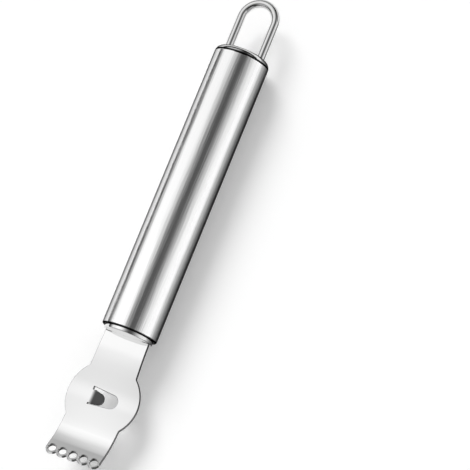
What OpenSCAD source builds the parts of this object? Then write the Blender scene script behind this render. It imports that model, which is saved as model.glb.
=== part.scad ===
// Citrus zester with a channel cutter, all stainless steel.
// Lies on its handle: +Z is up through the blade's front face, +Y runs to the hanging loop,
// and the origin is under the middle of the whole tool, on the surface it lies on.

/* [Handle] */
// outside diameter of the handle tube
tube_d = 20; // [16:0.5:24]
// length of the handle tube
tube_len = 104; // [80:1:130]
// wall thickness of the handle tube
tube_wall = 1.2; // [0.9:0.1:1.5]
// rounding of the tube's front edge, at most three quarters of the wall
tube_front_r = 0.6; // [0.3:0.1:1.1]
// rounding of the tube's rear edge, where the rear cap meets it in a fine groove
tube_rear_r = 0.25; // [0.1:0.05:0.4]

/* [Caps] */
// sheet thickness of both pressed caps
cap_wall = 0.9; // [0.6:0.1:1.2]
// how far the front cap stands out of the tube
collar_len = 1.3; // [1:0.1:3]
// rounding of the front cap's edge
collar_r = 0.3; // [0.2:0.1:0.9]
// length of each cap's skirt inside the tube
skirt_len = 7; // [4:0.5:14]
// rounded shoulder of the rear cap, also its height over the tube
shoulder_r = 2.4; // [1.4:0.1:3]
// radial gap between a cap's skirt and the tube, 0 for a pressed fit
skirt_gap = 0; // [0:0.01:0.1]

/* [Hanging loop] */
// diameter of the loop's wire
wire_d = 2.7; // [1.6:0.05:3]
// clearance between each leg and the inside of the rear cap's skirt
leg_inset = 0.1; // [0.05:0.05:2]
// how far the loop stands out of the rear cap
loop_rise = 21.2; // [14:0.5:40]
// length of each leg hidden inside the rear cap
loop_tail = 4.5; // [2:0.5:6]
// radial gap between a leg and its hole in the cap, 0 for a soldered joint
leg_gap = 0; // [0:0.01:0.1]

/* [Blade outline] */
// thickness of the blade's sheet
blade_t = 1.2; // [0.8:0.1:1.5]
// distance from each edge of the neck to the side of the front cap it stands on
neck_inset = 0.4; // [0.1:0.1:2]
// how far each edge of the neck would flare out on its way to the disc's centre
neck_flare = 0.9; // [0:0.1:1.2]
// diameter of the round middle of the blade
disc_d = 26.8; // [25:0.1:32]
// distance from the tube's front edge to the disc's centre
disc_y = 24.3; // [18:0.1:32]
// radius in the four corners between the disc and the straight parts
corner_r = 0.9; // [0.4:0.1:2]
// width of each shoulder where the neck narrows to the tang that passes into the handle
tang_shoulder = 2.4; // [1.5:0.1:4]
// length of the tang behind the front cap's face
tang_len = 14; // [8:0.5:30]
// gap round the tang in the front cap's slot
tang_gap = 0.05; // [0.02:0.01:0.2]

/* [Blade bends] */
// distance from the tube's front edge to where the neck starts to bend back
neck_bend_y = 6; // [3:0.5:12]
// length of the neck's bend
neck_bend_len = 6; // [3:0.5:12]
// angle of the neck's bend, away from the front face
neck_bend = 5; // [1:0.5:8]
// length of the straight stretch after the neck's bend
neck_run = 3; // [1:0.5:8]
// length of the long hollow over the disc
dish_len = 21.5; // [14:0.5:28]
// angle that the long hollow turns through
dish_bend = 16; // [8:0.5:20]
// length of the bend before the zesting holes
tip_bend_len = 7.4; // [4:0.2:10]
// angle of that bend, towards the front face
tip_bend = 17; // [5:0.5:30]
// flat length from that bend to the row of holes
tip_run = 3.2; // [1.5:0.1:8]

/* [Zesting holes] */
// number of zesting holes
hole_n = 5; // [3:1:6]
// distance between the centres of neighbouring holes
hole_pitch = 4.05; // [3:0.05:4.6]
// diameter of each hole
hole_d = 2.8; // [1.8:0.1:3.1]
// outside radius of the steel ring round each hole
lobe_r = 2.2; // [2.1:0.05:2.6]
// width of the ground bevel inside each hole's front rim
hone_w = 0.2; // [0.05:0.05:0.3]

/* [Channel cutter] */
// distance from the blade's centre line to the slot's square end
slot_x = 4.6; // [3:0.1:6]
// length of the slot
slot_len = 10.4; // [8:0.1:13]
// width of the slot at its square end
slot_w = 6.5; // [5.5:0.1:8]
// width of the slot at its round end
slot_tip_w = 5; // [3.5:0.1:6]
// distance from the disc's centre to the slot's centre line, towards the handle
slot_off = 0.1; // [-3:0.1:3]
// gap between the slot and each side of the cutting tongue's root, before the offset
tongue_gap = 0.75; // [0.55:0.05:1.2]
// how far the tongue stands nearer to the tip than the slot's middle
tongue_off = 0.35; // [0:0.05:0.35]
// width of the cutting tongue at its round end
tongue_tip_w = 4.3; // [2.5:0.1:4.5]
// length of the tongue after its bend
tongue_len = 3.75; // [2.5:0.05:5]
// angle that the tongue is bent away from the front face
tongue_bend = 24; // [14:1:45]
// bend radius of the tongue, to the middle of the sheet
tongue_r = 3; // [1:0.1:4]
// how much thinner than the sheet the stamping leaves the tongue
tongue_thin = 0.1; // [0.05:0.05:0.2]
// width of the bevel ground round the tongue's end
tongue_hone = 0.5; // [0.1:0.1:0.8]

/* [Hidden] */
$fn = 96;

steel = [0.80, 0.81, 0.82];
bright_steel = [0.88, 0.89, 0.90];

// how far a cutting shape reaches past what it cuts
over = 1;

tube_r = tube_d / 2;
bore_r = tube_r - tube_wall;
front_r = min(tube_front_r, 0.75 * tube_wall);
skirt_r = bore_r - skirt_gap;
wire_r = wire_d / 2;
loop_pitch = 2 * (skirt_r - cap_wall - leg_inset - wire_r);

neck_w = 2 * (skirt_r - neck_inset);
tang_w = neck_w - 2 * tang_shoulder;
tip_w = (hole_n - 1) * hole_pitch + 2 * lobe_r;

slot_y = disc_y - slot_off;
tongue_w = slot_w - 2 * tongue_gap;
tongue_t = blade_t - tongue_thin;
// how far the tongue's strip reaches into the uncut sheet
tongue_root = 0.8;
// largest angle between two neighbouring facets of the tongue's bend
tongue_step = 3;
// the same for the long bends of the sheet
bend_step = 1.4;

// The blade's side view is a walk in the YZ plane from the handle to the tip. A station is
// [place, angle], where the angle is how far the sheet has turned towards the front.
// heading(a) is the walking direction and facing(a) is the front face's normal.
function heading(a) = [-cos(a), sin(a)];
function facing(a) = [sin(a), cos(a)];
function arc_r(len, turn) = len / abs(turn) * 180 / PI;
function arc_point(p, a, len, turn, share) =
    p + sign(turn) * arc_r(len, turn) * (facing(a) - facing(a + share * turn));
function arc_end(p, a, len, turn) = arc_point(p, a, len, turn, 1);
function arc_walk(p, a, len, turn) =
    let (n = ceil(abs(turn) / bend_step))
    [for (i = [0:n]) [arc_point(p, a, len, turn, i / n), a + turn * i / n]];

a_dip = -neck_bend;
a_dish = a_dip + dish_bend;
a_tip = a_dish + tip_bend;

p_neck = [-neck_bend_y, 0];
p_dip = arc_end(p_neck, 0, neck_bend_len, -neck_bend);
p_dish = p_dip + neck_run * heading(a_dip);
p_bend = arc_end(p_dish, a_dip, dish_len, dish_bend);
p_tip = arc_end(p_bend, a_dish, tip_bend_len, tip_bend);
p_holes = p_tip + tip_run * heading(a_tip);

stations = concat(
    [[[tang_len - collar_len, 0], 0]],
    arc_walk(p_neck, 0, neck_bend_len, -neck_bend),
    arc_walk(p_dish, a_dip, dish_len, dish_bend),
    arc_walk(p_bend, a_dish, tip_bend_len, tip_bend),
    [[p_tip + (tip_run + 2 * lobe_r) * heading(a_tip), a_tip]]);

// the sheet's height and slope beside the channel cutter's slot
dish_r = arc_r(dish_len, dish_bend);
dish_c = p_dish + dish_r * facing(a_dip);
slot_a = -asin((dish_c[0] + slot_y) / dish_r);
slot_z = dish_c[1] - dish_r * cos(slot_a);

// the tool is laid down so that its box stands centred over the origin
front_end = p_holes[0] - lobe_r * cos(a_tip) - blade_t / 2 * sin(a_tip);
rear_face = tube_len + shoulder_r;
rear_end = rear_face + loop_rise;

// Shapes shared by several pieces

// half section of a ring turned about Y, with its two outer edges rounded
module ring_section(r_in, r_out, y0, y1, e0, e1) {
    difference() {
        union() {
            translate([r_in, y0]) square([r_out - max(e0, e1) - r_in, y1 - y0]);
            translate([r_in, y0 + e0]) square([r_out - r_in, y1 - e1 - y0 - e0]);
            translate([r_in, y0]) square([r_out - e0 - r_in, 2 * e0]);
            translate([r_in, y1 - 2 * e1]) square([r_out - e1 - r_in, 2 * e1]);
            translate([r_out - e0, y0 + e0]) circle(e0);
            translate([r_out - e1, y1 - e1]) circle(e1);
        }
        translate([-r_out, y0 - over]) square([r_out + r_in, y1 - y0 + 2 * over]);
    }
}

// turns a half section about the handle's axis, which is Y
module turned() {
    rotate([-90, 0, 0]) rotate_extrude() children();
}

// lays the tool on its handle, with its box centred over the origin
module laid_down() {
    translate([0, -(front_end + rear_end) / 2, tube_r]) children();
}

// Handle

module handle_tube() {
    color(steel) laid_down() turned()
        ring_section(bore_r, tube_r, 0, tube_len, front_r, tube_rear_r);
}

// pressed cup in the tube's front end, with the slot that the tang passes through
module front_cap() {
    color(bright_steel) laid_down() difference() {
        turned() difference() {
            union() {
                translate([0, -collar_len]) square([skirt_r - collar_r, collar_len + skirt_len]);
                translate([0, collar_r - collar_len])
                    square([skirt_r, collar_len - collar_r + skirt_len]);
                translate([skirt_r - collar_r, collar_r - collar_len]) circle(collar_r);
            }
            translate([-over, cap_wall - collar_len])
                square([skirt_r - cap_wall + over, skirt_len + collar_len]);
        }
        cube([tang_w + 2 * tang_gap, 2 * (collar_len + over), blade_t + 2 * tang_gap],
             center = true);
    }
}

// pressed cup over the tube's rear end, with a skirt in the bore and two holes for the loop
module rear_cap() {
    color(bright_steel) laid_down() difference() {
        turned() difference() {
            union() {
                translate([0, tube_len]) square([tube_r - shoulder_r, shoulder_r]);
                translate([tube_r - shoulder_r, tube_len]) intersection() {
                    circle(shoulder_r);
                    square(shoulder_r);
                }
                translate([0, tube_len - skirt_len]) square([skirt_r, skirt_len + shoulder_r / 2]);
            }
            translate([-over, tube_len - skirt_len - over])
                square([skirt_r - cap_wall + over, skirt_len + shoulder_r - cap_wall + over]);
        }
        for (side = [-1, 1])
            translate([side * loop_pitch / 2, rear_face - 2 * cap_wall, 0]) rotate([-90, 0, 0])
                cylinder(h = 4 * cap_wall, r = wire_r + leg_gap);
    }
}

// bent wire loop, flat in the blade's plane
module hanging_loop() {
    bow_r = loop_pitch / 2;
    bow_y = rear_end - wire_r - bow_r;
    leg_y = rear_face - cap_wall - loop_tail;
    color(bright_steel) laid_down() {
        translate([0, bow_y, 0]) rotate_extrude(angle = 180) translate([bow_r, 0]) circle(wire_r);
        for (side = [-1, 1])
            translate([side * bow_r, leg_y, 0]) rotate([-90, 0, 0])
                cylinder(h = bow_y - leg_y, r = wire_r);
    }
}

// Blade

// the whole sheet, bent but not yet cut out, across the full width of the disc
module bent_sheet() {
    half_t = blade_t / 2;
    rotate([90, 0, 90]) linear_extrude(2 * disc_d, center = true) polygon(concat(
        [for (s = stations) s[0] + half_t * facing(s[1])],
        [for (i = [len(stations) - 1:-1:0]) stations[i][0] - half_t * facing(stations[i][1])]));
}

// fills the inside corner between the disc and a straight edge, which starts at p and runs at
// the angle a, with a curve of radius corner_r that touches both
module corner_fill(p, a) {
    d = [cos(a), sin(a)];
    n = [-d[1], d[0]];
    v = p + corner_r * n;
    reach = disc_d / 2 + corner_r;
    s = -v * d - sqrt(pow(v * d, 2) - v * v + pow(reach, 2));
    q = v + s * d;
    linear_extrude(disc_d) difference() {
        polygon([q, q - corner_r * n, [0, 0]]);
        translate(q) circle(corner_r);
    }
}

// the blade's outline seen from the front, as a tall block
module front_outline() {
    neck = disc_y - collar_len;
    flare_x = neck_w / 2 + neck_flare;
    flare = atan(neck_flare / neck);
    translate([0, -disc_y, -disc_d / 2]) {
        cylinder(h = disc_d, d = disc_d);
        linear_extrude(disc_d)
            polygon([[-neck_w / 2, neck], [-flare_x, 0], [flare_x, 0], [neck_w / 2, neck]]);
        translate([-tip_w / 2, -2 * disc_d, 0]) cube([tip_w, 2 * disc_d, disc_d]);
        translate([-tang_w / 2, neck - over, 0]) cube([tang_w, tang_len + over, disc_d]);
        for (side = [0, 1]) mirror([side, 0, 0]) {
            corner_fill([neck_w / 2, neck], flare - 90);
            mirror([0, 1, 0]) corner_fill([tip_w / 2, disc_d], -90);
        }
    }
}

// everything that is cut away at the zesting holes, in the plane of the flat tip:
// X across, Y towards the tip from the row of holes, Z out of the front face
module tip_cuts() {
    last = (hole_n - 1) / 2;
    difference() {
        translate([-disc_d, 0, -disc_d / 2]) cube([2 * disc_d, disc_d, disc_d]);
        for (i = [-last:last]) translate([i * hole_pitch, 0, 0])
            cylinder(h = 2 * disc_d, r = lobe_r, center = true);
    }
    for (i = [-last:last]) translate([i * hole_pitch, 0, 0]) {
        cylinder(h = blade_t + 2 * over, d = hole_d, center = true);
        translate([0, 0, blade_t / 2 - hone_w])
            cylinder(h = 2 * hone_w, d1 = hole_d, d2 = hole_d + 4 * hone_w);
    }
}

// slot of the channel cutter, wider at its square end, which is at X = 0
module slot_cut() {
    r = slot_tip_w / 2;
    end = slot_len - r;
    translate([0, 0, -disc_d / 2]) {
        linear_extrude(disc_d) polygon([[0, slot_w / 2], [0, -slot_w / 2], [end, -r], [end, r]]);
        translate([end, 0, 0]) cylinder(h = disc_d, r = r);
    }
}

// cutting tongue: a strip rooted in the sheet at X = 0, bent back and ground round its end
module tongue() {
    half_t = tongue_t / 2;
    tip_r = tongue_tip_w / 2;
    back = 2 * (tongue_root + tongue_r);
    steps = ceil(tongue_bend / tongue_step);
    bend_end = tongue_r * [sin(tongue_bend), cos(tongue_bend) - 1];
    flat_end = bend_end + (tongue_len + over) * [cos(tongue_bend), -sin(tongue_bend)];
    // [place, angle] along the strip, seen from the tip with X to the right and Z up
    strip = concat([[[-tongue_root, 0], 0]],
        [for (i = [0:steps]) let (a = tongue_bend * i / steps) [tongue_r * [sin(a), cos(a) - 1], a]],
        [[flat_end, tongue_bend]]);
    intersection() {
        rotate([90, 0, 0]) linear_extrude(slot_w, center = true) polygon(concat(
            [for (i = [len(strip) - 1:-1:0]) strip[i][0] + half_t * facing(strip[i][1])],
            [for (s = strip) s[0] - half_t * facing(s[1])]));
        translate([bend_end[0], 0, bend_end[1]]) rotate([0, tongue_bend, 0]) difference() {
            translate([0, 0, -disc_d / 2]) {
                linear_extrude(disc_d) polygon([[-back, -tongue_w / 2], [0, -tongue_w / 2],
                    [tongue_len - tip_r, -tip_r], [tongue_len - tip_r, tip_r],
                    [0, tongue_w / 2], [-back, tongue_w / 2]]);
                translate([tongue_len - tip_r, 0, 0]) cylinder(h = disc_d, r = tip_r);
            }
            // the bevel is what lies outside a cone
            difference() {
                translate([tongue_len - tip_r, -tongue_w, half_t - tongue_hone])
                    cube([2 * tongue_w, 2 * tongue_w, tongue_w]);
                translate([tongue_len - tip_r, 0, half_t - tongue_hone])
                    cylinder(h = tip_r, r1 = tip_r, r2 = 0);
            }
        }
    }
}

module blade() {
    color(bright_steel) laid_down() {
        difference() {
            intersection() {
                bent_sheet();
                front_outline();
            }
            translate([0, p_holes[0], p_holes[1]]) rotate([-a_tip, 0, 0]) mirror([0, 1, 0]) tip_cuts();
            translate([-slot_x, -slot_y, 0]) slot_cut();
        }
        translate([-slot_x, -slot_y, slot_z]) rotate([-slot_a, 0, 0])
            translate([0, -tongue_off, 0]) tongue();
    }
}

handle_tube();
front_cap();
blade();
rear_cap();
hanging_loop();
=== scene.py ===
"""Citrus zester with a channel cutter, in stainless steel.

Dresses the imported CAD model: a mirror-polished stamped blade, a satin handle tube, two pressed caps
and a bent wire hanging loop, on a white sweep under soft studio light.
"""
import math

import bmesh
import bpy
from bpy.props import FloatProperty, FloatVectorProperty, IntProperty, PointerProperty
from bpy.types import Operator, Panel, PropertyGroup
from mathutils import Matrix, Vector


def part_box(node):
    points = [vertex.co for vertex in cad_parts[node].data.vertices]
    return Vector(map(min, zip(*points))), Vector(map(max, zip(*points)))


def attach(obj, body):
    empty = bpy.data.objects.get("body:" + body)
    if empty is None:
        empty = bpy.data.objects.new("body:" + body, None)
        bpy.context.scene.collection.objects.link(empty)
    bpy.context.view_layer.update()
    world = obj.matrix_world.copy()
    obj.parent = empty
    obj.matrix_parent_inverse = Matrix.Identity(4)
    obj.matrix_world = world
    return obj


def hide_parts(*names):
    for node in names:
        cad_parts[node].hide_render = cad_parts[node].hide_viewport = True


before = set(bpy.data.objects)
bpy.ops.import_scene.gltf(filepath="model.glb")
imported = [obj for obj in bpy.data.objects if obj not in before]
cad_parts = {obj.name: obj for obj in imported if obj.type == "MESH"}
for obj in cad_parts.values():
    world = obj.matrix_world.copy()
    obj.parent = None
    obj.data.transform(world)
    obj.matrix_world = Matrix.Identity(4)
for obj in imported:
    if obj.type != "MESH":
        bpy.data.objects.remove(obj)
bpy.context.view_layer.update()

bl_info = {
    "name": "Citrus zester",
    "version": (1, 0, 0),
    "blender": (4, 5, 0),
    "location": "View3D > Sidebar > Zester",
    "description": "Builds a steel citrus zester on its CAD frame, with its stage and lights",
    "category": "Add Mesh",
}

MM = 0.001
TUBE_LOW, TUBE_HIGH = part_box("handle_tube")
LOOP_LOW, LOOP_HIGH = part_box("hanging_loop")
CAP_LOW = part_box("front_cap")[0]
BLADE_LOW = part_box("blade")[0]
AXIS_Z = (TUBE_LOW.z + TUBE_HIGH.z) / 2
# how far the front cap's face stands out of the tube
CAP_FACE = TUBE_LOW.y - CAP_LOW.y
# metres within which two places count as one, and within which a dividing line takes a corner
TOUCH = 1e-6
FINE_TOUCH = 1e-8


def colour(code):
    """Linear RGB of an sRGB hex colour."""
    parts = [int(code[i:i + 2], 16) / 255 for i in (1, 3, 5)]
    return [c / 12.92 if c <= 0.04045 else ((c + 0.055) / 1.055) ** 2.4 for c in parts]


def rgba(rgb):
    return (*rgb, 1.0)


def length(name, millimetres, description, least=0.0):
    return FloatProperty(name=name, description=description, default=millimetres * MM,
                         unit="LENGTH", precision=5, min=least)


def angle(name, degrees, description):
    return FloatProperty(name=name, description=description, default=math.radians(degrees),
                         subtype="ANGLE")


def share(name, default, description):
    return FloatProperty(name=name, description=description, default=default,
                         min=0.0, max=1.0, subtype="FACTOR")


def paint(name, code, description):
    return FloatVectorProperty(name=name, description=description, default=colour(code),
                               subtype="COLOR", size=3, min=0.0, max=1.0)


# Sizes and colours that a user would change

class ZesterBladeSizes(PropertyGroup):
    sheet: length("Sheet", 1.2, "Thickness of the blade's sheet")
    edge: length("Edge rounding", 0.12, "Rounding that tumbling leaves on the stamped edges")
    neck: length("Neck", 16.8, "Width of the neck at the front cap")
    neck_flare: length("Neck flare", 0.9, "How far each neck edge flares out to the disc's centre")
    tang: length("Tang", 12.0, "Width of the tang inside the handle")
    tang_length: length("Tang length", 14.0, "Length of the tang behind the front cap's face")
    disc: length("Disc", 26.8, "Diameter of the round middle of the blade")
    disc_place: length("Disc place", 24.3, "From the tube's front edge to the disc's centre")
    corner: length("Corners", 0.9, "Radius between the disc and the straight edges")
    neck_bend_place: length("Neck bend place", 6.0, "From the tube's front edge to the neck's bend")
    neck_bend_length: length("Neck bend length", 6.0, "Length of the neck's bend")
    neck_bend: angle("Neck bend", -5.0, "Turn of the neck, away from the front")
    neck_run: length("Neck run", 3.0, "Straight stretch after the neck's bend")
    dish_length: length("Dish length", 21.5, "Length of the hollow over the disc")
    dish_bend: angle("Dish bend", 16.0, "Turn of the hollow, towards the front")
    tip_bend_length: length("Tip bend length", 7.4, "Length of the bend before the holes")
    tip_bend: angle("Tip bend", 17.0, "Turn of that bend, towards the front")
    tip_run: length("Tip run", 3.2, "Flat stretch from that bend to the row of holes")
    holes: IntProperty(name="Holes", description="Number of zesting holes", default=5, min=3, max=6)
    hole_pitch: length("Hole pitch", 4.05, "Distance between neighbouring holes")
    hole: length("Hole", 2.8, "Diameter of each zesting hole")
    lobe: length("Lobe", 2.2, "Outside radius of the steel ring round each hole")
    hone: length("Hone", 0.2, "Bevel ground inside each hole's front rim")
    slot_side: length("Slot side", 4.6, "From the centre line to the slot's square end")
    slot_length: length("Slot length", 10.4, "Length of the channel cutter's slot")
    slot_width: length("Slot width", 6.5, "Width of the slot at its square end")
    slot_round: length("Slot round end", 5.0, "Width of the slot at its round end")
    slot_offset: length("Slot offset", 0.1, "From the disc's centre back to the slot's middle")
    tongue: length("Tongue", 5.0, "Width of the cutting tongue at its root")
    tongue_tip: length("Tongue tip", 4.3, "Width of the tongue at its round end")
    tongue_shift: length("Tongue shift", 0.35, "From the slot's middle to the tongue's, to the tip")
    tongue_length: length("Tongue length", 3.75, "Length of the tongue after its bend")
    tongue_bend: angle("Tongue bend", 24.0, "How far the tongue is bent back")
    tongue_radius: length("Tongue radius", 3.0, "Bend radius of the tongue, to mid-sheet")
    tongue_hone: length("Tongue hone", 0.45, "Bevel ground round the tongue's end")


class ZesterLoopSizes(PropertyGroup):
    wire: length("Wire", (LOOP_HIGH.z - LOOP_LOW.z) / MM, "Diameter of the loop's wire")
    width: length("Width", (LOOP_HIGH.x - LOOP_LOW.x) / MM, "Outside width of the loop")


class ZesterFinish(PropertyGroup):
    polished: paint("Polished steel", "#E4E4E4", "Mirror-polished stainless steel")
    satin: paint("Satin steel", "#FAFAFA", "Satin stainless steel of the handle")
    # painted shade: the near-black line stands for shadow and dark reflection in the seams at the
    # caps
    painted_seam_shade: paint("Rolled edge", "#242424", "Dark line that the closing roll leaves at each seam")
    # partly the dull grey of a sheared edge, partly painted dark reflection that darkens it further
    sheared: paint("Cut edge", "#676767", "Sheared and tumbled edges of the blade")
    buffed: paint("Buffed edge", "#DBDBDB", "Rounded end of each ring, buffed after tumbling")
    # painted shade: the steel's reflection fades to this near-black where the surface turns away
    painted_edge_shade: paint("Grazing view", "#313131", "What the steel darkens to where it turns away")
    polish_roughness: share("Polish roughness", 0.07, "Roughness of the polished steel")
    satin_roughness: share("Satin roughness", 0.13, "Roughness of the satin steel")
    wire_roughness: share("Wire roughness", 0.1, "Roughness of the loop's wire")


class ZesterStage(PropertyGroup):
    backdrop: paint("Backdrop", "#F4F4F4", "Paper sweep under the zester")
    lift: share("Backdrop lift", 0.15, "Glow of the paper where the camera or the steel sees it")
    tent: FloatProperty(name="Tent", description="Brightness of the tent in the steel",
                        default=1.45, min=0.0)
    fill: FloatProperty(name="Fill light", description="Brightness of the even light on the paper",
                        default=0.56, min=0.0)
    sun: FloatProperty(name="Key light", description="Strength of the soft key light",
                       default=2.0, min=0.0)
    sun_size: angle("Key softness", 32.0, "Apparent size of the key light")
    sun_azimuth: angle("Key azimuth", -146.0, "Key light's direction round the zester")
    sun_elevation: angle("Key elevation", 40.0, "Key light's height as an angle")
    card: FloatProperty(name="Neck card", description="Brightness of the card that the neck shows",
                        default=0.22, min=0.0)
    card_width: length("Card width", 80.0, "Size of that card across the blade")
    card_length: length("Card length", 56.0, "Size of that card along the blade")
    card_edge: share("Card edge", 0.6, "Share of that card's half width over which it fades out")
    card_place: FloatVectorProperty(name="Card place", subtype="TRANSLATION",
                                    description="Middle of that card",
                                    default=(-22 * MM, -30 * MM, 66 * MM))
    # painted shadow: a dark card beside the handle, seen only in the steel, as the tube's dark right
    # edge
    side_card: share("Side card", 0.85, "Darkness of the card beside the handle")
    painted_side_shadow_from: length("Side card from", 12.0, "Where that card is darkest, from the axis")
    painted_side_shadow_to: length("Side card to", 50.0, "Where that card has faded out")
    # painted shadow: a dark card under the tip, seen only in the steel, as shade on each ring's right
    tip_card: share("Tip card", 0.9, "Darkness of the card under the blade's tip")
    painted_tip_shadow_from: length("Tip card from", 4.0, "Where that card is darkest, from the centre line")
    painted_tip_shadow_to: length("Tip card to", -4.0, "Where that card has faded out", least=-1.0)
    painted_tip_shadow_reach: length("Tip card reach", 50.0, "How far that card reaches before the tip")
    camera_azimuth: angle("Camera azimuth", 62.12, "Camera's direction round the zester")
    camera_elevation: angle("Camera elevation", 65.44, "Camera's height as an angle")
    camera_roll: angle("Camera roll", -42.2, "Turn of the camera about its own line of sight")
    camera_distance: length("Camera distance", 856.2, "From the camera to the point it looks at")
    camera_target: FloatVectorProperty(name="Camera target", subtype="TRANSLATION",
                                       description="Point that the camera looks at",
                                       default=(22.5 * MM, 4.4 * MM, 10 * MM))
    camera_lens: FloatProperty(name="Lens", description="Focal length in millimetres",
                               default=191.9)


# The light tent that the steel mirrors, as the edges of its cards: angle from straight up towards
# +X, in degrees, and sRGB grey level from 0 to 255. Between two edges the light fades softly
TENT_ACROSS = ((-180, 200), (-103, 200),    # paper below, on the left
               (-95, 70), (-88, 60), (-82, 90),    # dark strip, low on the left
               (-58, 254), (-30, 254),    # first white bank
               (22, 84), (28, 84),    # grey gap, to the right of the top
               (85, 248), (100, 248),    # second white bank
               (180, 200))    # paper below, on the right
# share of that light by the direction's Y, from the tip's end of the tent at -1 to the other at 1:
# dim before the tip, even over the blade and the tube, and dimmed again behind the handle
TENT_ALONG = ((-1, 0.4), (-0.65, 0.34), (-0.55, 0.25), (-0.35, 0.2), (-0.27, 0.3), (-0.21, 0.65),
              (0.07, 0.64), (0.14, 0.74), (0.19, 0.75), (0.23, 0.67), (0.38, 0.67),
              (0.48, 0.75), (0.6, 0.65), (0.7, 0.45), (0.79, 0.44), (0.83, 0.3), (0.87, 0.26),
              (0.96, 0.26), (1, 0.34))
# dark card at the handle's end of the tent: the Y where it begins and is whole, the Z where it
# thins and ends, and the share of light that it leaves
END_CARD_FROM = (0.42, 0.52)
END_CARD_TOP = (0.3, 0.38)
END_CARD_SHADE = 0.12
# metres: the paper from its middle to its sides, the painted shadow cards over it, and the camera's
# reach
FLOOR_REACH = 4.0
CARD_HEIGHT = 0.5 * MM
CAMERA_REACH = 20.0
# millimetres, as the lens
SENSOR_WIDTH = 36.0


def grey(level):
    """Linear value of an sRGB grey level from 0 to 255."""
    return colour("#%02X%02X%02X" % (level, level, level))[0]


# Materials

POLISHED = "Stainless steel, mirror polished"
# where nearly all values of a noise lie
NOISE_SPAN = {"From Min": 0.3, "From Max": 0.7}
# where the painted seam shade begins to end and has ended, from the tube's front edge back, and from
# its rear edge on over the rear cap
TUBE_SEAM_SHADE = (0.3 * MM, 0.6 * MM)
CAP_SEAM_SHADE = (0.4 * MM, 0.7 * MM)


def add_node(tree, kind, settings=None, links=None):
    """Adds a node, sets its properties and input values, and links its inputs to outputs."""
    node = tree.nodes.new(kind)
    for key, value in (settings or {}).items():
        if isinstance(key, str) and hasattr(node, key):
            setattr(node, key, value)
        else:
            node.inputs[key].default_value = value
    for key, output in (links or {}).items():
        tree.links.new(output, node.inputs[key])
    return node


def new_material(name):
    """An empty node material and its tree."""
    material = bpy.data.materials.new(name)
    material.use_nodes = True
    material.node_tree.nodes.clear()
    return material, material.node_tree


def ramp_stops(node, stops):
    """Sets a colour ramp's stops from pairs of a position and a linear grey value."""
    ramp = node.color_ramp
    while len(ramp.elements) > 1:
        ramp.elements.remove(ramp.elements[-1])
    ramp.elements[0].position, ramp.elements[0].color = stops[0][0], (*[stops[0][1]] * 3, 1)
    for position, level in stops[1:]:
        ramp.elements.new(position).color = (*[level] * 3, 1)


def lined(name, sizes, detail=2.0, roughness=0.5):
    """A new material, its tree, its Object coordinates, and a noise drawn out into lines. The sizes
    are those of one line along X, Y and Z, in millimetres."""
    material, tree = new_material(name)
    place = add_node(tree, "ShaderNodeTexCoord").outputs["Object"]
    drawn_out = add_node(tree, "ShaderNodeMapping", {"Scale": [1 / (size * MM) for size in sizes]},
                         {"Vector": place})
    noise = add_node(tree, "ShaderNodeTexNoise",
                     {"Scale": 1.0, "Detail": detail, "Roughness": roughness},
                     {"Vector": drawn_out.outputs[0]})
    return material, tree, place, noise.outputs["Fac"]


def painted_seam_line(tree, place, edge, ends, dark, steel):
    """Colour along Y: painted seam shade, dark from an edge to the first of two distances, and the
    steel's own colour from the second on."""
    along = add_node(tree, "ShaderNodeSeparateXYZ", None, {0: place}).outputs["Y"]
    seam_shade_band = add_node(tree, "ShaderNodeMapRange",
                    {"From Min": edge + ends[0], "From Max": edge + ends[1]}, {0: along})
    return add_node(tree, "ShaderNodeMix", {"data_type": "RGBA", 6: rgba(dark), 7: rgba(steel)},
                    {0: seam_shade_band.outputs[0]}).outputs[2]


def end_in_steel(tree, settings, links):
    """Ends a material's nodes in bare metal."""
    steel = add_node(tree, "ShaderNodeBsdfPrincipled", {"Metallic": 1.0, **settings}, links)
    add_node(tree, "ShaderNodeOutputMaterial", None, {"Surface": steel.outputs[0]})


def polished_stainless_steel(finish):
    """Stamped stainless sheet, buffed to a mirror: sharp reflections, with hairlines from the wheel
    that run across the blade and a slight unevenness of the polish."""
    # real hairlines are too fine to show: drawn 0.25 mm wide and 17 mm long, across the blade
    material, tree, place, hairlines = lined(POLISHED, (16.7, 0.25, 0.25))
    # the polish is uneven over 8 mm
    cloud = add_node(tree, "ShaderNodeTexNoise", {"Scale": 1 / (7.7 * MM), "Detail": 2.0},
                     {"Vector": place})
    rough = add_node(tree, "ShaderNodeMapRange",
                     {**NOISE_SPAN, "To Min": finish.polish_roughness * 0.7,
                      "To Max": finish.polish_roughness * 1.4}, {"Value": cloud.outputs["Fac"]})
    bump = add_node(tree, "ShaderNodeBump", {"Strength": 0.05, "Distance": 0.02 * MM},
                    {"Height": hairlines})
    end_in_steel(tree, {"Base Color": rgba(finish.polished)},
                 {"Roughness": rough.outputs[0], "Normal": bump.outputs[0]})
    return material


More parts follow.
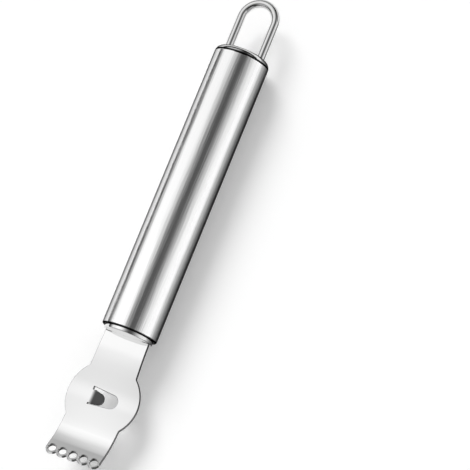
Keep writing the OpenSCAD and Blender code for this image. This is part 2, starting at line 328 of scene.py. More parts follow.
def satin_stainless_steel(finish):
    """Drawn stainless tube, satin brushed along its length: soft streaks of reflection with fine
    lengthwise lines, and a crisp line of painted shade where its front edge turns in over the cap."""
    # single brush lines are too fine to show: drawn as bundles 0.9 mm wide and 22 mm long
    material, tree, place, brushing = lined("Stainless steel, satin brushed",
                                            (0.909, 22.2, 0.909), 3.0, 0.6)
    # the brushing is uneven over 11 mm
    cloud = add_node(tree, "ShaderNodeTexNoise", {"Scale": 1 / (11.1 * MM), "Detail": 2.0},
                     {"Vector": place})
    rough = add_node(tree, "ShaderNodeMapRange",
                     {**NOISE_SPAN, "To Min": finish.satin_roughness * 0.85,
                      "To Max": finish.satin_roughness * 1.15}, {"Value": cloud.outputs["Fac"]})
    bump = add_node(tree, "ShaderNodeBump", {"Strength": 0.8, "Distance": 0.07 * MM},
                    {"Height": brushing})
    # painted shade in the seam at the tube's front edge
    tint = painted_seam_line(tree, place, TUBE_LOW.y, TUBE_SEAM_SHADE, finish.painted_seam_shade, finish.satin)
    end_in_steel(tree, {"Specular Tint": rgba(finish.painted_edge_shade)},
                 {"Base Color": tint, "Roughness": rough.outputs[0], "Normal": bump.outputs[0]})
    return material


def sheared_steel_darkened(finish):
    """Edge of the stamped sheet, tumbled but not buffed: a dull grey, darkened further by painted
    dark reflection, with fine lines through the thickness, where the punch sheared it."""
    # shear marks that stand across the edge, drawn 0.17 mm wide so that they show
    material, tree, _, marks = lined("Stainless steel, sheared edge, painted darker", (0.1667, 0.1667, 1.43))
    rough = add_node(tree, "ShaderNodeMapRange", {**NOISE_SPAN, "To Min": 0.28, "To Max": 0.42},
                     {"Value": marks})
    bump = add_node(tree, "ShaderNodeBump", {"Strength": 0.15, "Distance": 0.02 * MM},
                    {"Height": marks})
    end_in_steel(tree, {"Base Color": rgba(finish.sheared)},
                 {"Roughness": rough.outputs[0], "Normal": bump.outputs[0]})
    return material


def buffed_edge(finish):
    """Scalloped end of the blade, buffed on a soft wheel: bright, with a soft blur over the light and
    dark patches that each ring mirrors, the dark ones mostly from the painted shadow under the tip."""
    # wheel marks that stand across the edge, drawn 0.2 mm wide so that they show
    material, tree, _, marks = lined("Stainless steel, buffed edge", (0.2, 0.2, 1.11))
    rough = add_node(tree, "ShaderNodeMapRange", {**NOISE_SPAN, "To Min": 0.08, "To Max": 0.16},
                     {"Value": marks})
    end_in_steel(tree, {"Base Color": rgba(finish.buffed), "Specular Tint": rgba(finish.painted_edge_shade)},
                 {"Roughness": rough.outputs[0]})
    return material


def pressed_cap(finish):
    """Stainless cap pressed from sheet and polished: mirror-like, with faint draw marks along the
    handle, and a line of painted shade at the foot of its shoulder, in the seam against the tube."""
    # draw marks, drawn 0.25 mm wide and 11 mm long so that they show
    material, tree, place, marks = lined("Stainless steel, pressed cap", (0.25, 11.1, 0.25))
    bump = add_node(tree, "ShaderNodeBump", {"Strength": 0.04, "Distance": 0.02 * MM},
                    {"Height": marks})
    # painted shade in the seam at the foot of the cap's shoulder
    tint = painted_seam_line(tree, place, TUBE_HIGH.y, CAP_SEAM_SHADE, finish.painted_seam_shade, finish.polished)
    end_in_steel(tree, {"Roughness": finish.polish_roughness,
                        "Specular Tint": rgba(finish.painted_edge_shade)},
                 {"Base Color": tint, "Normal": bump.outputs[0]})
    return material


def drawn_wire(finish):
    """Bright drawn stainless wire: a polished surface with fine die lines along the wire, and painted
    shade that darkens it where it turns away."""
    # die lines, drawn 0.2 mm wide and 17 mm long so that they show
    material, tree, _, marks = lined("Stainless steel, drawn wire", (0.2, 16.7, 0.2))
    bump = add_node(tree, "ShaderNodeBump", {"Strength": 0.06, "Distance": 0.02 * MM},
                    {"Height": marks})
    end_in_steel(tree, {"Base Color": rgba(finish.polished), "Roughness": finish.wire_roughness,
                        "Specular Tint": rgba(finish.painted_edge_shade)}, {"Normal": bump.outputs[0]})
    return material


def shared_polish(finish):
    """The mirror polish, which the blade and the front cap share, made at its first use."""
    return bpy.data.materials.get(POLISHED) or polished_stainless_steel(finish)


# Shapes

# straight steps in each curve, and in the loop's legs
CORNER_STEPS = 8
DISC_STEPS = 70
LOBE_STEPS = 24
HOLE_STEPS = 48
ROUND_STEPS = 36
TONGUE_BEND_STEPS = 14
RIM_STEPS = 3
WIRE_STEPS = 40
LEG_STEPS = 12
BOW_STEPS = 48
# points along each side of the tongue's root, and along the run-out of its ground bevel
ROOT_STEPS = 6
HONE_STEPS = 6
# longest step along the sheet
SHEET_STEP = 0.9 * MM
# halvings that find a distance along the sheet
HALVINGS = 40
# how far beside the tongue a point still counts as its own
TONGUE_MARGIN = 0.2 * MM
# sharpest turn, in degrees, that the edge's shading runs smoothly over
SMOOTH_TURN = 40
# edges wider than this many roundings are ground, to a flat bevel of so many degrees
GROUND_FROM = 1.5
BEVEL_TILT = 45
# places of the blade's materials on its mesh
POLISHED_KIND, SHEARED_DARKENED_KIND, BUFFED_KIND = 0, 1, 2

# The blade's flat pattern: X across the blade, Y the distance along the sheet from the tube's
# front edge towards the tip

class Walk:
    """Side view of the blade as a walk along mid-sheet, in straight runs and arcs."""

    def __init__(self, b):
        self.runs = []
        start = CAP_FACE - b.tang_length
        place, turn = Vector((-start, 0.0)), 0.0
        for run, bend in ((b.neck_bend_place - start, 0.0), (b.neck_bend_length, b.neck_bend),
                          (b.neck_run, 0.0), (b.dish_length, b.dish_bend),
                          (b.tip_bend_length, b.tip_bend), (b.tip_run + 2 * b.lobe, 0.0)):
            self.runs.append((start, run, bend, place, turn))
            place = self.step(place, turn, run, run, bend)
            start, turn = start + run, turn + bend
        self.first, self.last = self.runs[0][0], start
        self.holes = start - 2 * b.lobe

    @staticmethod
    def step(place, turn, done, run, bend):
        """Point reached after going done along a run of the given whole length and bend."""
        if not bend:
            return place + done * Vector((-math.cos(turn), math.sin(turn)))
        radius, now = run / bend, turn + bend * done / run
        return place + radius * (Vector((math.sin(turn), math.cos(turn)))
                                 - Vector((math.sin(now), math.cos(now))))

    def at(self, s):
        """Place in the side view, and angle of the sheet, at the distance s along the sheet."""
        for start, run, bend, place, turn in self.runs:
            if s <= start + run:
                break
        done = s - start
        return self.step(place, turn, done, run, bend), turn + bend * done / run

    def along(self, y):
        """Distance along the sheet of the point that is y in front of the tube's front edge."""
        low, high = self.first, self.last
        for _ in range(HALVINGS):
            middle = (low + high) / 2
            if -self.at(middle)[0].x < y:
                low = middle
            else:
                high = middle
        return (low + high) / 2

    def stations(self):
        """Distances at which the sheet is divided: a degree apart in bends, and never more than the
        longest step."""
        found = []
        for start, run, bend, _, _ in self.runs:
            n = max(math.ceil(abs(math.degrees(bend))), math.ceil(run / SHEET_STEP))
            found += [start + run * i / n for i in range(n)]
        return found[1:]


def arc(centre, radius, first, last, steps):
    """Points on a circle, from one angle to another in degrees."""
    turns = [math.radians(first + (last - first) * i / steps) for i in range(steps + 1)]
    return [Vector((centre[0] + radius * math.cos(t), centre[1] + radius * math.sin(t)))
            for t in turns]


def corner_arc(edge, direction, disc_radius, radius):
    """Small arc that leads from a straight edge to the disc round the origin, touching both."""
    side = Vector((-direction.y, direction.x))
    start = edge + radius * side
    along = start.dot(direction)
    reach = disc_radius + radius
    centre = start - (along + math.sqrt(along ** 2 - start.dot(start) + reach ** 2)) * direction
    first = math.degrees(math.atan2(-side.y, -side.x))
    turn = math.degrees((-side).angle_signed(-centre))
    return arc(centre, radius, first, first - turn, CORNER_STEPS)


def blade_outline(b, walk):
    """Outline of the flat pattern, with the metal on its left."""
    neck_y = b.disc_place - CAP_FACE
    radius = b.disc / 2
    flare = math.atan2(b.neck_flare, neck_y)
    tip_half = (b.holes - 1) / 2 * b.hole_pitch + b.lobe
    # right half, from the handle to the tip, seen from the disc's centre with Y to the handle
    neck_corner = corner_arc(Vector((b.neck / 2, neck_y)),
                             Vector((math.sin(flare), -math.cos(flare))), radius, b.corner)
    tip_corner = [Vector((p.x, -p.y)) for p in
                  corner_arc(Vector((tip_half, 2 * radius)), Vector((0, -1)), radius, b.corner)]
    first, last = (math.degrees(math.atan2(c[-1].y, c[-1].x)) for c in (neck_corner, tip_corner))
    half = [Vector((b.neck / 2, neck_y))] + neck_corner
    half += arc((0, 0), radius, first, last, DISC_STEPS)[1:-1] + tip_corner[::-1]
    half = [Vector((p.x, walk.along(b.disc_place - p.y))) for p in half]
    half = [Vector((b.tang / 2, walk.first)), Vector((b.tang / 2, walk.along(CAP_FACE)))] + half
    # scalloped end, one arc round each hole, from notch to notch
    notch = math.degrees(math.acos(b.hole_pitch / 2 / b.lobe))
    lobes = []
    for i in range(b.holes):
        middle = ((b.holes - 1) / 2 - i) * b.hole_pitch
        first = notch if i else 0
        last = 180 - notch if i < b.holes - 1 else 180
        lobes += arc((middle, walk.holes), b.lobe, first, last, LOBE_STEPS)[1 if i else 0:]
    return half + lobes + [Vector((-p.x, p.y)) for p in reversed(half)]


def cutter_outline(b, walk):
    """Edge of the channel cutter's slot, which runs round the tongue in it, with the metal on its
    left. Each point comes with the width of the bevel there."""
    middle = b.disc_place - b.slot_offset
    root = -b.slot_side
    slot_end = root + b.slot_length - b.slot_round / 2
    bend = b.tongue_radius * b.tongue_bend
    tongue_end = root + bend + b.tongue_length - b.tongue_tip / 2
    half = b.slot_width / 2
    low, high = -b.tongue_shift - b.tongue / 2, -b.tongue_shift + b.tongue / 2
    side = [root + bend * i / ROOT_STEPS for i in range(1, ROOT_STEPS + 1)]
    points = [(root, half)] + arc((slot_end, 0), b.slot_round / 2, 90, -90, ROUND_STEPS)
    points += [(root, -half), (root, low)] + [(x, low) for x in side]
    first = len(points)
    points += arc((tongue_end, -b.tongue_shift), b.tongue_tip / 2, -90, 90, ROUND_STEPS)
    points += [(x, high) for x in reversed(side)] + [(root, high)]
    bevels = [b.edge] * len(points)
    for i in range(ROUND_STEPS + 1):
        full = min(1.0, i / HONE_STEPS, (ROUND_STEPS - i) / HONE_STEPS)
        bevels[first + i] = b.edge + (b.tongue_hone - b.edge) * full
    return [Vector((p[0], walk.along(middle - p[1]))) for p in reversed(points)], bevels[::-1]


def inset(points, widths):
    """Closed line moved to its left, into the metal."""
    moved = []
    for i, point in enumerate(points):
        sides = []
        for a, c in ((points[i - 1], point), (point, points[(i + 1) % len(points)])):
            step = (c - a).normalized()
            sides.append(Vector((-step.y, step.x)))
        mitre = (sides[0] + sides[1]) / (1 + sides[0].dot(sides[1]))
        moved.append(point + widths[i] * mitre)
    return moved


def new_shape_tree(name, inputs):
    """An empty Geometry Nodes tree with named inputs, and those inputs' sockets. It makes one
    shape, in one material."""
    tree = bpy.data.node_groups.new(name, "GeometryNodeTree")
    for label, kind in (*inputs, ("Steel", "Material")):
        tree.interface.new_socket(label, in_out="INPUT", socket_type="NodeSocket" + kind)
    tree.interface.new_socket("Shape", in_out="OUTPUT", socket_type="NodeSocketGeometry")
    return tree, add_node(tree, "NodeGroupInput").outputs


def end_in_shape(tree, shape, steel):
    """Ends such a tree in plain faces of its material."""
    whole = add_node(tree, "GeometryNodeRealizeInstances", None, {0: shape})
    made = add_node(tree, "GeometryNodeSetMaterial", None,
                    {"Geometry": whole.outputs[0], "Material": steel})
    add_node(tree, "NodeGroupOutput", None, {0: made.outputs[0]})
    return tree


def punched_blank_tree():
    """Geometry Nodes that fill an outline and punch a row of round holes through it, a pitch apart
    along X."""
    tree, given = new_shape_tree("Punched blank", (("Outline", "Geometry"), ("Holes", "Int"),
                                                   ("Pitch", "Float"), ("Hole radius", "Float"),
                                                   ("Row place", "Float")))
    outline = add_node(tree, "GeometryNodeMeshToCurve", None, {"Mesh": given["Outline"]})
    gaps = add_node(tree, "ShaderNodeMath", {"operation": "SUBTRACT", 1: 1.0}, {0: given["Holes"]})
    row = add_node(tree, "ShaderNodeMath", {"operation": "MULTIPLY"},
                   {0: gaps.outputs[0], 1: given["Pitch"]})
    start = add_node(tree, "ShaderNodeMath", {"operation": "MULTIPLY", 1: -0.5},
                     {0: row.outputs[0]})
    first = add_node(tree, "ShaderNodeCombineXYZ", None,
                     {"X": start.outputs[0], "Y": given["Row place"]})
    step = add_node(tree, "ShaderNodeCombineXYZ", None, {"X": given["Pitch"]})
    places = add_node(tree, "GeometryNodeMeshLine", None,
                      {"Count": given["Holes"], "Start Location": first.outputs[0],
                       "Offset": step.outputs[0]})
    hole = add_node(tree, "GeometryNodeCurvePrimitiveCircle", {"Resolution": HOLE_STEPS},
                    {"Radius": given["Hole radius"]})
    holes = add_node(tree, "GeometryNodeInstanceOnPoints", None,
                     {"Points": places.outputs[0], "Instance": hole.outputs[0]})
    punched = add_node(tree, "GeometryNodeRealizeInstances", None, {0: holes.outputs[0]})
    both = add_node(tree, "GeometryNodeJoinGeometry", None, {0: outline.outputs[0]})
    tree.links.new(punched.outputs[0], both.inputs[0])
    blank = add_node(tree, "GeometryNodeFillCurve", None, {0: both.outputs[0]})
    return end_in_shape(tree, blank.outputs[0], given["Steel"])


def bent_wire_tree():
    """Geometry Nodes that sweep a round wire along a path, with closed ends."""
    tree, given = new_shape_tree("Bent wire", (("Path", "Geometry"), ("Wire radius", "Float")))
    path = add_node(tree, "GeometryNodeMeshToCurve", None, {"Mesh": given["Path"]})
    section = add_node(tree, "GeometryNodeCurvePrimitiveCircle", {"Resolution": WIRE_STEPS},
                       {"Radius": given["Wire radius"]})
    wire = add_node(tree, "GeometryNodeCurveToMesh", {"Fill Caps": True},
                    {"Curve": path.outputs[0], "Profile Curve": section.outputs[0]})
    smooth = add_node(tree, "GeometryNodeSetShadeSmooth", None, {"Geometry": wire.outputs[0]})
    return end_in_shape(tree, smooth.outputs[0], given["Steel"])


def line_mesh(points, closed):
    """Edges of an open or closed line, or of several closed ones."""
    loops = points if isinstance(points[0], list) else [points]
    corners, edges = [], []
    for loop in loops:
        base, count = len(corners), len(loop)
        corners += [Vector((*p, 0.0))[:3] for p in loop]
        edges += [(base + i, base + (i + 1) % count) for i in range(count if closed else count - 1)]
    mesh = bpy.data.meshes.new("line")
    mesh.from_pydata(corners, edges, [])
    return mesh


def grown(tree, mesh, values):
    """Plain mesh that a node tree grows from a mesh, given its named inputs."""
    source = bpy.data.objects.new("source", mesh)
    bpy.context.scene.collection.objects.link(source)
    modifier = source.modifiers.new("Nodes", "NODES")
    modifier.node_group = tree
    for socket in tree.interface.items_tree:
        if socket.in_out == "INPUT" and socket.name in values:
            modifier[socket.identifier] = values[socket.name]
    graph = bpy.context.evaluated_depsgraph_get()
    result = bpy.data.meshes.new_from_object(source.evaluated_get(graph))
    bpy.data.objects.remove(source)
    return result


def divide(flat, faces, axis, places):
    """Divides flat faces along lines that stand across an axis."""
    normal = Vector((0, 0, 0))
    normal[axis] = 1
    for place in places:
        parts = dict.fromkeys(g for f in faces() for g in (*f.verts, *f.edges, f))
        bmesh.ops.bisect_plane(flat, geom=list(parts), dist=FINE_TOUCH,
                               plane_co=normal * place, plane_no=normal)


class Blade:
    """The bent sheet, made from its flat pattern."""

    def __init__(self, b, steel):
        self.b, self.walk = b, Walk(b)
        outline = blade_outline(b, self.walk)
        slot, slot_bevels = cutter_outline(b, self.walk)
        self.edges = [(outline, [b.edge] * len(outline)), (slot, slot_bevels)]
        self.insets = [inset(*edge) for edge in self.edges]
        self.root = -b.slot_side
        bend = b.tongue_radius * b.tongue_bend
        middle = b.disc_place - b.slot_offset + b.tongue_shift
        self.tongue_low = self.walk.along(middle - b.tongue / 2 - TONGUE_MARGIN)
        self.tongue_high = self.walk.along(middle + b.tongue / 2 + TONGUE_MARGIN)
        self.tongue_end = self.root + bend + b.tongue_length
        self.hole_middles = [Vector(((i - (b.holes - 1) / 2) * b.hole_pitch, self.walk.holes))
                             for i in range(b.holes)]
        self.ground_reach = b.hole / 2 + b.hone + TOUCH
        blank = grown(punched_blank_tree(), line_mesh([list(i) for i in self.insets], True),
                      {"Holes": b.holes, "Pitch": b.hole_pitch,
                       "Hole radius": b.hole / 2 + b.hone, "Row place": self.walk.holes,
                       "Steel": steel})
        self.flat = bmesh.new()
        self.flat.from_mesh(blank)
        for face in self.flat.faces:
            face.normal_update()
            if face.normal.z < 0:
                face.normal_flip()
        divide(self.flat, lambda: self.flat.faces, 1, self.walk.stations())
        divide(self.flat, lambda: self.flat.faces, 0, [self.root])
        divide(self.flat, self.tongue_faces, 0,
               [self.root + bend * i / TONGUE_BEND_STEPS for i in range(1, TONGUE_BEND_STEPS + 1)])

    def on_tongue(self, p):
        return (self.root + FINE_TOUCH < p.x < self.tongue_end + TOUCH
                and self.tongue_low < p.y < self.tongue_high)

    def tongue_faces(self):
        return [f for f in self.flat.faces if self.on_tongue(f.calc_center_median())]

    def on_scallop(self, *ends):
        """Whether a border edge lies on the scalloped end, outside the holes."""
        return all(p.y >= self.walk.holes
                   and min((p.xy - m).length for m in self.hole_middles) >= self.ground_reach
                   for p in ends)

    def place(self, p):
        """Point of mid-sheet, and the directions across, along and out of the front face there."""
        b = self.b
        at, turn = self.walk.at(p.y)
        across, along = Vector((1, 0, 0)), Vector((0, -math.cos(turn), math.sin(turn)))
        out = Vector((0, math.sin(turn), math.cos(turn)))
        point = Vector((p.x, TUBE_LOW.y + at.x, AXIS_Z + at.y))
        if self.on_tongue(p):
            lean = min((p.x - self.root) / b.tongue_radius, b.tongue_bend)
            rest = p.x - self.root - lean * b.tongue_radius
            reach = b.tongue_radius * math.sin(lean) + rest * math.cos(lean)
            drop = b.tongue_radius * (1 - math.cos(lean)) + rest * math.sin(lean)
            point = point + (self.root + reach - p.x) * across - drop * out
            across, out = (math.cos(lean) * across - math.sin(lean) * out,
                           math.sin(lean) * across + math.cos(lean) * out)
        return point, across, along, out

    def rim(self, p):
        """For a point on the edge of the inset pattern: its place on the outline, the width of the
        edge's rounding or bevel there, and whether it is ground."""
        b = self.b
        for middle in self.hole_middles:
            if (p - middle).length < self.ground_reach:
                return middle + (p - middle) * b.hole / (b.hole + 2 * b.hone), b.hone, True
        best = None
        for (outer, widths), inner in zip(self.edges, self.insets):
            for i in range(len(inner)):
                a, step = inner[i - 1], inner[i] - inner[i - 1]
                part = min(1.0, max(0.0, (p - a).dot(step) / step.dot(step)))
                away = (p - a - part * step).length
                if best is None or away < best[0]:
                    best = (away, outer[i - 1].lerp(outer[i], part),
                            widths[i - 1] + (widths[i] - widths[i - 1]) * part)
        return best[1], best[2], best[2] > GROUND_FROM * b.edge

    def border(self):
        """The border point that follows each border point, with the metal on the left."""
        return {loop.vert.index: loop.link_loop_next.vert.index
                for face in self.flat.faces for loop in face.loops if loop.edge.is_boundary}

    def edge_points(self, p, outer, width, front, ground):
        """Points over the edge from a face to the wall: front is 1 at the front face, -1 behind."""
        points = []
        for k in range(1, RIM_STEPS + 1):
            phi = math.radians(90 * k / RIM_STEPS)
            go, fall = math.sin(phi), 1 - math.cos(phi)
            if ground and front == 1:
                go = fall = k / RIM_STEPS
            spot, _, _, up = self.place(p.lerp(outer, go))
            points.append(spot + front * (self.b.sheet / 2 - width * fall) * up)
        return points

    def sides(self, before, p, after):
        """Directions out of the border's two edges at a point, the same where it turns gently."""
        found = []
        for a, c in ((before, p), (p, after)):
            step = (c - a).normalized()
            found.append(Vector((step.y, -step.x)))
        if found[0].dot(found[1]) > math.cos(math.radians(SMOOTH_TURN)):
            found = [(found[0] + found[1]).normalized()] * 2
        return found

    def mesh(self):
        """Front and back faces, rounded or bevelled edges, and the sheared wall between them."""
        half = self.b.sheet / 2
        flat = self.flat
        flat.verts.index_update()
        flat.verts.ensure_lookup_table()
        faces, normals, kinds = [], [], []
        spots = [v.co.xy for v in flat.verts]
        frames = [self.place(p) for p in spots]
        count = len(frames)
        points = [f[0] + half * f[3] for f in frames] + [f[0] - half * f[3] for f in frames]
        for face in flat.faces:
            ring = [v.index for v in face.verts]
            faces += [ring[::-1], [count + i for i in ring]]
            normals += [frames[i][3] for i in ring[::-1]] + [-frames[i][3] for i in ring]
            kinds += [POLISHED_KIND] * 2
        after = self.border()
        before = {c: a for a, c in after.items()}
        rings, outward, ground = {}, {}, {}
        for i in after:
            outer, width, ground[i] = self.rim(spots[i])
            _, across, along, _ = self.place(outer)
            outward[i] = [s.x * across + s.y * along
                          for s in self.sides(spots[before[i]], spots[i], spots[after[i]])]
            rings[i] = [i]
            for front in (1, -1):
                numbers = list(range(len(points), len(points) + RIM_STEPS))
                points += self.edge_points(spots[i], outer, width, front, ground[i])
                rings[i] += numbers[::front]
            rings[i].append(count + i)
        levels = [90 * k / RIM_STEPS for k in range(RIM_STEPS + 1)]
        tilts = levels + [180 - t for t in reversed(levels)]
        for a, c in after.items():
            for k in range(2 * RIM_STEPS + 1):
                faces.append([rings[a][k], rings[c][k], rings[c][k + 1], rings[a][k + 1]])
                if ground[a] and k < RIM_STEPS:
                    kinds.append(SHEARED_DARKENED_KIND if self.on_tongue(spots[a]) else POLISHED_KIND)
                else:
                    kinds.append(BUFFED_KIND if self.on_scallop(spots[a], spots[c])
                                 else SHEARED_DARKENED_KIND)
                for i, j in ((a, k), (c, k), (c, k + 1), (a, k + 1)):
                    side = outward[i][1 if i == a else 0]
                    tilt = math.radians(tilts[j])
                    if k < RIM_STEPS and ground[a] and ground[c]:
                        tilt = math.radians(BEVEL_TILT)
                    normals.append(math.cos(tilt) * frames[i][3] + math.sin(tilt) * side)
        mesh = bpy.data.meshes.new("blade")
        mesh.from_pydata(points, [], faces)
        mesh.polygons.foreach_set("use_smooth", [True] * len(faces))
        mesh.polygons.foreach_set("material_index", kinds)
        mesh.normals_split_custom_set([n.normalized() for n in normals])
        return mesh


# Pieces and stage

def towards(azimuth, elevation):
    """Unit vector to a place round the zester: azimuth runs from -Y towards +X."""
    return Vector((math.sin(azimuth) * math.cos(elevation),
                   -math.cos(azimuth) * math.cos(elevation), math.sin(elevation)))


def stage_sheet(name, low, high, z, material):
    """Level rectangle that belongs to the stage."""
    (x0, y0), (x1, y1) = low, high
    mesh = bpy.data.meshes.new(name)
    mesh.from_pydata([(x0, y0, z), (x1, y0, z), (x1, y1, z), (x0, y1, z)], [], [(0, 1, 2, 3)])
    mesh.materials.append(material)
    sheet = bpy.data.objects.new(name, mesh)
    bpy.context.scene.collection.objects.link(sheet)
    return sheet


def piece(name, mesh, materials, node):
    """Object for a mesh that stands for a CAD node and rides on the tool's one body."""
    mesh.name = name
    for material in materials:
        if material.name not in mesh.materials:
            mesh.materials.append(material)
    obj = bpy.data.objects.new(name, mesh)
    bpy.context.scene.collection.objects.link(obj)
    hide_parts(node)
    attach(obj, "root")
    return obj


def dress(node, material):
    """Gives a CAD node's object a new material in each of its slots."""
    found = [o for o in bpy.data.objects if o.type == "MESH" and o.name == node]
    if len(found) != 1:
        raise RuntimeError("no single object for " + node)
    for slot in found[0].material_slots:
        slot.material = material


class ZESTER_OT_blade(Operator):
    """Stamp the blade, bend it and bend its tongue back"""
    bl_idname = "zester.blade"
    bl_label = "Blade"

    def execute(self, context):
        finish = context.scene.zester_finish
        polished = shared_polish(finish)
        mesh = Blade(context.scene.zester_blade, polished).mesh()
        steels = [polished, sheared_steel_darkened(finish), buffed_edge(finish)]
        piece("blade_sheet", mesh, steels, "blade")
        return {"FINISHED"}


class ZESTER_OT_handle(Operator):
    """Finish the handle tube and the two caps pressed into its ends"""
    bl_idname = "zester.handle"
    bl_label = "Handle and caps"

    def execute(self, context):
        finish = context.scene.zester_finish
        dress("handle_tube", satin_stainless_steel(finish))
        dress("front_cap", shared_polish(finish))
        dress("rear_cap", pressed_cap(finish))
        return {"FINISHED"}


class ZESTER_OT_loop(Operator):
    """Bend the wire for the hanging loop"""
    bl_idname = "zester.loop"
    bl_label = "Hanging loop"

    def execute(self, context):
        sizes = context.scene.zester_loop
        steel = drawn_wire(context.scene.zester_finish)
        bow = (sizes.width - sizes.wire) / 2
        bow_y = LOOP_HIGH.y - sizes.wire / 2 - bow
        leg = bow_y - LOOP_LOW.y
        steps = [LOOP_LOW.y + leg * i / LEG_STEPS for i in range(LEG_STEPS)]
        path = [Vector((bow, y, AXIS_Z)) for y in steps]
        path += [Vector((p.x, p.y, AXIS_Z)) for p in arc((0, bow_y), bow, 0, 180, BOW_STEPS)]
        path += [Vector((-bow, y, AXIS_Z)) for y in reversed(steps)]
        wire = grown(bent_wire_tree(), line_mesh(path, False),
                     {"Wire radius": sizes.wire / 2, "Steel": steel})
        piece("wire_loop", wire, [steel], "hanging_loop")
        return {"FINISHED"}


class ZESTER_OT_stage(Operator):
    """Set out the white sweep, the soft light, the studio's walls and the camera"""
    bl_idname = "zester.stage"
    bl_label = "Stage"

    def execute(self, context):
        stage = context.scene.zester_stage
        self.floor(stage)
        self.light(stage)
        self.neck_card(stage)
        self.painted_shadow_cards(stage)
        self.walls(context.scene)
        self.camera(context.scene, stage)
        context.scene.view_settings.view_transform = "Standard"
        return {"FINISHED"}

    @staticmethod
    def floor(stage):
        material, tree = new_material("White paper sweep")
        path = add_node(tree, "ShaderNodeLightPath").outputs
        seen = add_node(tree, "ShaderNodeMath", {"operation": "ADD"},
                        {0: path["Is Camera Ray"], 1: path["Is Glossy Ray"]})
        all_seen = add_node(tree, "ShaderNodeMath", {"operation": "ADD"},
                            {0: seen.outputs[0], 1: path["Is Transmission Ray"]})
        lift = add_node(tree, "ShaderNodeMath", {"operation": "MULTIPLY", 1: stage.lift},
                        {0: all_seen.outputs[0]})
        paper = add_node(tree, "ShaderNodeBsdfDiffuse", {"Color": rgba(stage.backdrop)})
        glow = add_node(tree, "ShaderNodeEmission", None, {"Strength": lift.outputs[0]})
        both = add_node(tree, "ShaderNodeAddShader", None,
                        {0: paper.outputs[0], 1: glow.outputs[0]})
        add_node(tree, "ShaderNodeOutputMaterial", None, {"Surface": both.outputs[0]})
        stage_sheet("floor", (-FLOOR_REACH, -FLOOR_REACH), (FLOOR_REACH, FLOOR_REACH), 0, material)

    @staticmethod
    def light(stage):
        sun = bpy.data.lights.new("Key light", "SUN")
        sun.energy = stage.sun
        sun.angle = stage.sun_size
        lamp = bpy.data.objects.new("Key light", sun)
        back = towards(stage.sun_azimuth, stage.sun_elevation)
        lamp.rotation_mode = "QUATERNION"
        lamp.rotation_quaternion = back.to_track_quat("Z", "Y")
        # the steel mirrors the tent, not this light
        lamp.visible_glossy = False
        bpy.context.scene.collection.objects.link(lamp)

    @staticmethod
    def neck_card(stage):
        """Small soft card over the blade, brightest in its middle, which makes the neck's patch."""
        glow = bpy.data.lights.new("Neck card", "AREA")
        glow.shape = "RECTANGLE"
        glow.size, glow.size_y = stage.card_width, stage.card_length
        # the same brightness whatever the card's size
        glow.energy = stage.card * math.pi * stage.card_width * stage.card_length
        glow.use_nodes = True
        tree = glow.node_tree
        tree.nodes.clear()
        spot = add_node(tree, "ShaderNodeNewGeometry").outputs["Parametric"]
        centred = add_node(tree, "ShaderNodeMapping", {"Location": (-1, -1, 0), "Scale": (2, 2, 0)},
                           {"Vector": spot})
        soft = add_node(tree, "ShaderNodeTexGradient", {"gradient_type": "SPHERICAL"},
                        {"Vector": centred.outputs[0]})
        level = add_node(tree, "ShaderNodeMapRange", {"From Max": stage.card_edge},
                         {0: soft.outputs[1]})
        light = add_node(tree, "ShaderNodeEmission", None, {"Strength": level.outputs[0]})
        add_node(tree, "ShaderNodeOutputLight", None, {0: light.outputs[0]})
        lamp = bpy.data.objects.new("Neck card", glow)
        lamp.location = Vector(stage.card_place)
        lamp.rotation_mode = "QUATERNION"
        back = lamp.location - Vector((0, CAP_LOW.y, AXIS_Z))
        lamp.rotation_quaternion = back.to_track_quat("Z", "Y")
        lamp.visible_diffuse = False
        lamp.visible_camera = False
        bpy.context.scene.collection.objects.link(lamp)

    @staticmethod
    def painted_shadow_card(name, corners, dark_at, clear_at, darkness):
        """Painted shadow: a dark card just over the paper, out of the camera's sight, which only the
        steel mirrors, so that the edges which face it show it as shade. It fades out along X."""
        material, tree = new_material("Painted shadow card, fading out along X")
        place = add_node(tree, "ShaderNodeTexCoord").outputs["Object"]
        along = add_node(tree, "ShaderNodeSeparateXYZ", None, {0: place}).outputs["X"]
        clear = add_node(tree, "ShaderNodeMapRange",
                         {"From Min": dark_at, "From Max": clear_at, "To Min": 1 - darkness},
                         {0: along})
        glass = add_node(tree, "ShaderNodeBsdfTransparent", None, {"Color": clear.outputs[0]})
        add_node(tree, "ShaderNodeOutputMaterial", None, {"Surface": glass.outputs[0]})
        card = stage_sheet(name, *corners, CARD_HEIGHT, material)
        card.visible_camera = False
        card.visible_diffuse = False
        card.visible_shadow = False

    def painted_shadow_cards(self, stage):
        """Painted shadows: one card beside the handle and one under the tip, to the right of each
        ring.
        """
        near, far = stage.painted_side_shadow_from, stage.painted_side_shadow_to
        corners = (near / 2, TUBE_LOW.y - far / 2), (far, TUBE_HIGH.y + far / 2)
        self.painted_shadow_card("side_card", corners, near, far, stage.side_card)
        tip = BLADE_LOW.y
        corners = (stage.painted_tip_shadow_to, tip - stage.painted_tip_shadow_reach), (far, tip)
        self.painted_shadow_card("tip_card", corners, stage.painted_tip_shadow_from, stage.painted_tip_shadow_to, stage.tip_card)

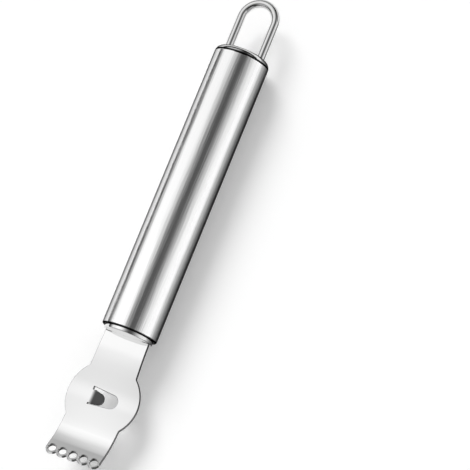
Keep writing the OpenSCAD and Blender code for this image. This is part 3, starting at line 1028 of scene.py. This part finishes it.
    @staticmethod
    def walls(scene):
        """White tent round the tool, with a grey gap that the steel shows as its dark streak, and a
        dark card at the handle's end. Only the steel sees it: the camera sees white, and the paper
        gets an even fill."""
        world = bpy.data.worlds.new("Light tent")
        scene.world = world
        world.use_nodes = True
        tree = world.node_tree
        tree.nodes.clear()
        way = add_node(tree, "ShaderNodeTexCoord").outputs["Generated"]
        parts = add_node(tree, "ShaderNodeSeparateXYZ", None, {0: way}).outputs
        turn = add_node(tree, "ShaderNodeMath", {"operation": "ARCTAN2"},
                        {0: parts["X"], 1: parts["Z"]})
        round_place = add_node(tree, "ShaderNodeMapRange",
                               {"From Min": -math.pi, "From Max": math.pi}, {0: turn.outputs[0]})
        across = add_node(tree, "ShaderNodeValToRGB", None, {0: round_place.outputs[0]})
        across.color_ramp.interpolation = "EASE"
        ramp_stops(across, [((a + 180) / 360, grey(g)) for a, g in TENT_ACROSS])
        end_place = add_node(tree, "ShaderNodeMapRange", {"From Min": -1.0, "From Max": 1.0},
                             {0: parts["Y"]})
        along = add_node(tree, "ShaderNodeValToRGB", None, {0: end_place.outputs[0]})
        ramp_stops(along, [((y + 1) / 2, level) for y, level in TENT_ALONG])
        both = add_node(tree, "ShaderNodeMath", {"operation": "MULTIPLY"},
                        {0: across.outputs[0], 1: along.outputs[0]})
        before = add_node(tree, "ShaderNodeMapRange",
                          {"From Min": END_CARD_FROM[0], "From Max": END_CARD_FROM[1],
                           "To Min": 1.0, "To Max": END_CARD_SHADE}, {0: parts["Y"]})
        above = add_node(tree, "ShaderNodeMapRange",
                         {"From Min": END_CARD_TOP[0], "From Max": END_CARD_TOP[1]},
                         {0: parts["Z"]})
        clear = add_node(tree, "ShaderNodeMath", {"operation": "MAXIMUM"},
                         {0: before.outputs[0], 1: above.outputs[0]})
        carded = add_node(tree, "ShaderNodeMath", {"operation": "MULTIPLY"},
                          {0: both.outputs[0], 1: clear.outputs[0]})
        path = add_node(tree, "ShaderNodeLightPath").outputs
        tent = add_node(tree, "ShaderNodeBackground", {"Strength": scene.zester_stage.tent},
                        {"Color": carded.outputs[0]})
        fill = add_node(tree, "ShaderNodeBackground", {"Color": (1, 1, 1, 1),
                                                       "Strength": scene.zester_stage.fill})
        lit = add_node(tree, "ShaderNodeMixShader", None,
                       {0: path["Is Diffuse Ray"], 1: tent.outputs[0], 2: fill.outputs[0]})
        white = add_node(tree, "ShaderNodeBackground", {"Color": (1, 1, 1, 1)})
        seen = add_node(tree, "ShaderNodeMixShader", None,
                        {0: path["Is Camera Ray"], 1: lit.outputs[0], 2: white.outputs[0]})
        add_node(tree, "ShaderNodeOutputWorld", None, {"Surface": seen.outputs[0]})

    @staticmethod
    def camera(scene, stage):
        lens = bpy.data.cameras.new("camera")
        lens.lens = stage.camera_lens
        lens.sensor_width = SENSOR_WIDTH
        lens.clip_end = CAMERA_REACH
        camera = bpy.data.objects.new("camera", lens)
        azimuth = stage.camera_azimuth
        back = towards(azimuth, stage.camera_elevation)
        level = Vector((math.cos(azimuth), math.sin(azimuth), 0))
        upright = back.cross(level)
        right = math.cos(stage.camera_roll) * level + math.sin(stage.camera_roll) * upright
        up = back.cross(right)
        matrix = Matrix((right, up, back)).transposed().to_4x4()
        matrix.translation = Vector(stage.camera_target) + stage.camera_distance * back
        camera.matrix_world = matrix
        scene.collection.objects.link(camera)
        scene.camera = camera


class ZESTER_PT_panel(Panel):
    """Buttons and sizes for the citrus zester"""
    bl_idname = "ZESTER_PT_panel"
    bl_label = "Citrus zester"
    bl_space_type = "VIEW_3D"
    bl_region_type = "UI"
    bl_category = "Zester"

    def draw(self, context):
        for operator in OPERATORS:
            self.layout.operator(operator.bl_idname)
        for name in GROUPS:
            values = getattr(context.scene, name)
            box = self.layout.box()
            for key in values.bl_rna.properties.keys():
                if key not in {"rna_type", "name"}:
                    box.prop(values, key)


OPERATORS = (ZESTER_OT_blade, ZESTER_OT_handle, ZESTER_OT_loop, ZESTER_OT_stage)
GROUPS = {"zester_blade": ZesterBladeSizes, "zester_loop": ZesterLoopSizes,
          "zester_finish": ZesterFinish, "zester_stage": ZesterStage}


def register():
    for cls in (*GROUPS.values(), *OPERATORS, ZESTER_PT_panel):
        bpy.utils.register_class(cls)
    for name, group in GROUPS.items():
        setattr(bpy.types.Scene, name, PointerProperty(type=group))


def unregister():
    for name in GROUPS:
        delattr(bpy.types.Scene, name)
    for cls in reversed((*GROUPS.values(), *OPERATORS, ZESTER_PT_panel)):
        bpy.utils.unregister_class(cls)


def main():
    register()
    bpy.ops.zester.blade()
    bpy.ops.zester.handle()
    bpy.ops.zester.loop()
    bpy.ops.zester.stage()


if __name__ == "__main__":
    main()
